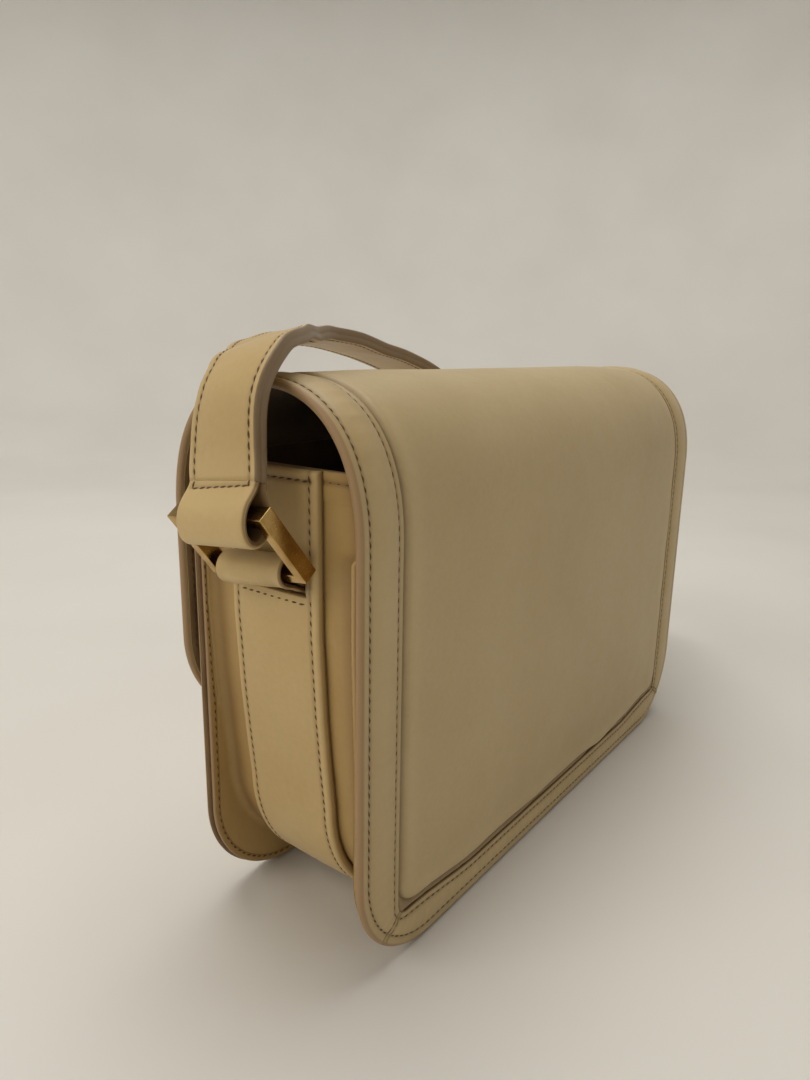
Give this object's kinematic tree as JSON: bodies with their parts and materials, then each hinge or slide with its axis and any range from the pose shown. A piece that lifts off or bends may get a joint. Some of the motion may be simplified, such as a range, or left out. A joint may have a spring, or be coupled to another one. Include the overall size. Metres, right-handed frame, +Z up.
{
  "type": "leather satchel with a flap and shoulder strap",
  "caption": "Structured leather satchel: a back that turns over the top into a front flap, a band on a deep gusset, and a shoulder strap held by rectangular brass rings.",
  "frame": {"origin": "middle of the whole thing's footprint, strap included, on the surface it stands on", "axes": "+X along the bag's width towards the right ring, +Y to the back panel, -Y to the flap's front, +Z up"},
  "size_m": [0.3924, 0.1474, 0.1996],
  "materials": {
    "panel_leather": "smooth satin beige calf leather",
    "border_leather": "smooth satin beige calf leather, stitched",
    "gusset_leather": "smooth satin beige calf leather",
    "strap_leather": "smooth satin beige calf leather with painted edges",
    "brass": "polished, lightly aged"
  },
  "bodies": {
    "root": {"back_flap_panel": "panel_leather", "border_side_right": "border_leather", "border_side_left": "border_leather", "border_back_bottom": "border_leather", "border_flap_bottom": "border_leather", "front_panel": "panel_leather", "gusset": "gusset_leather", "gusset_band": "strap_leather", "chape_right": "strap_leather", "chape_left": "strap_leather", "ring_right": "brass", "ring_left": "brass", "strap": "strap_leather", "snap": "brass"}
  },
  "joints": []
}
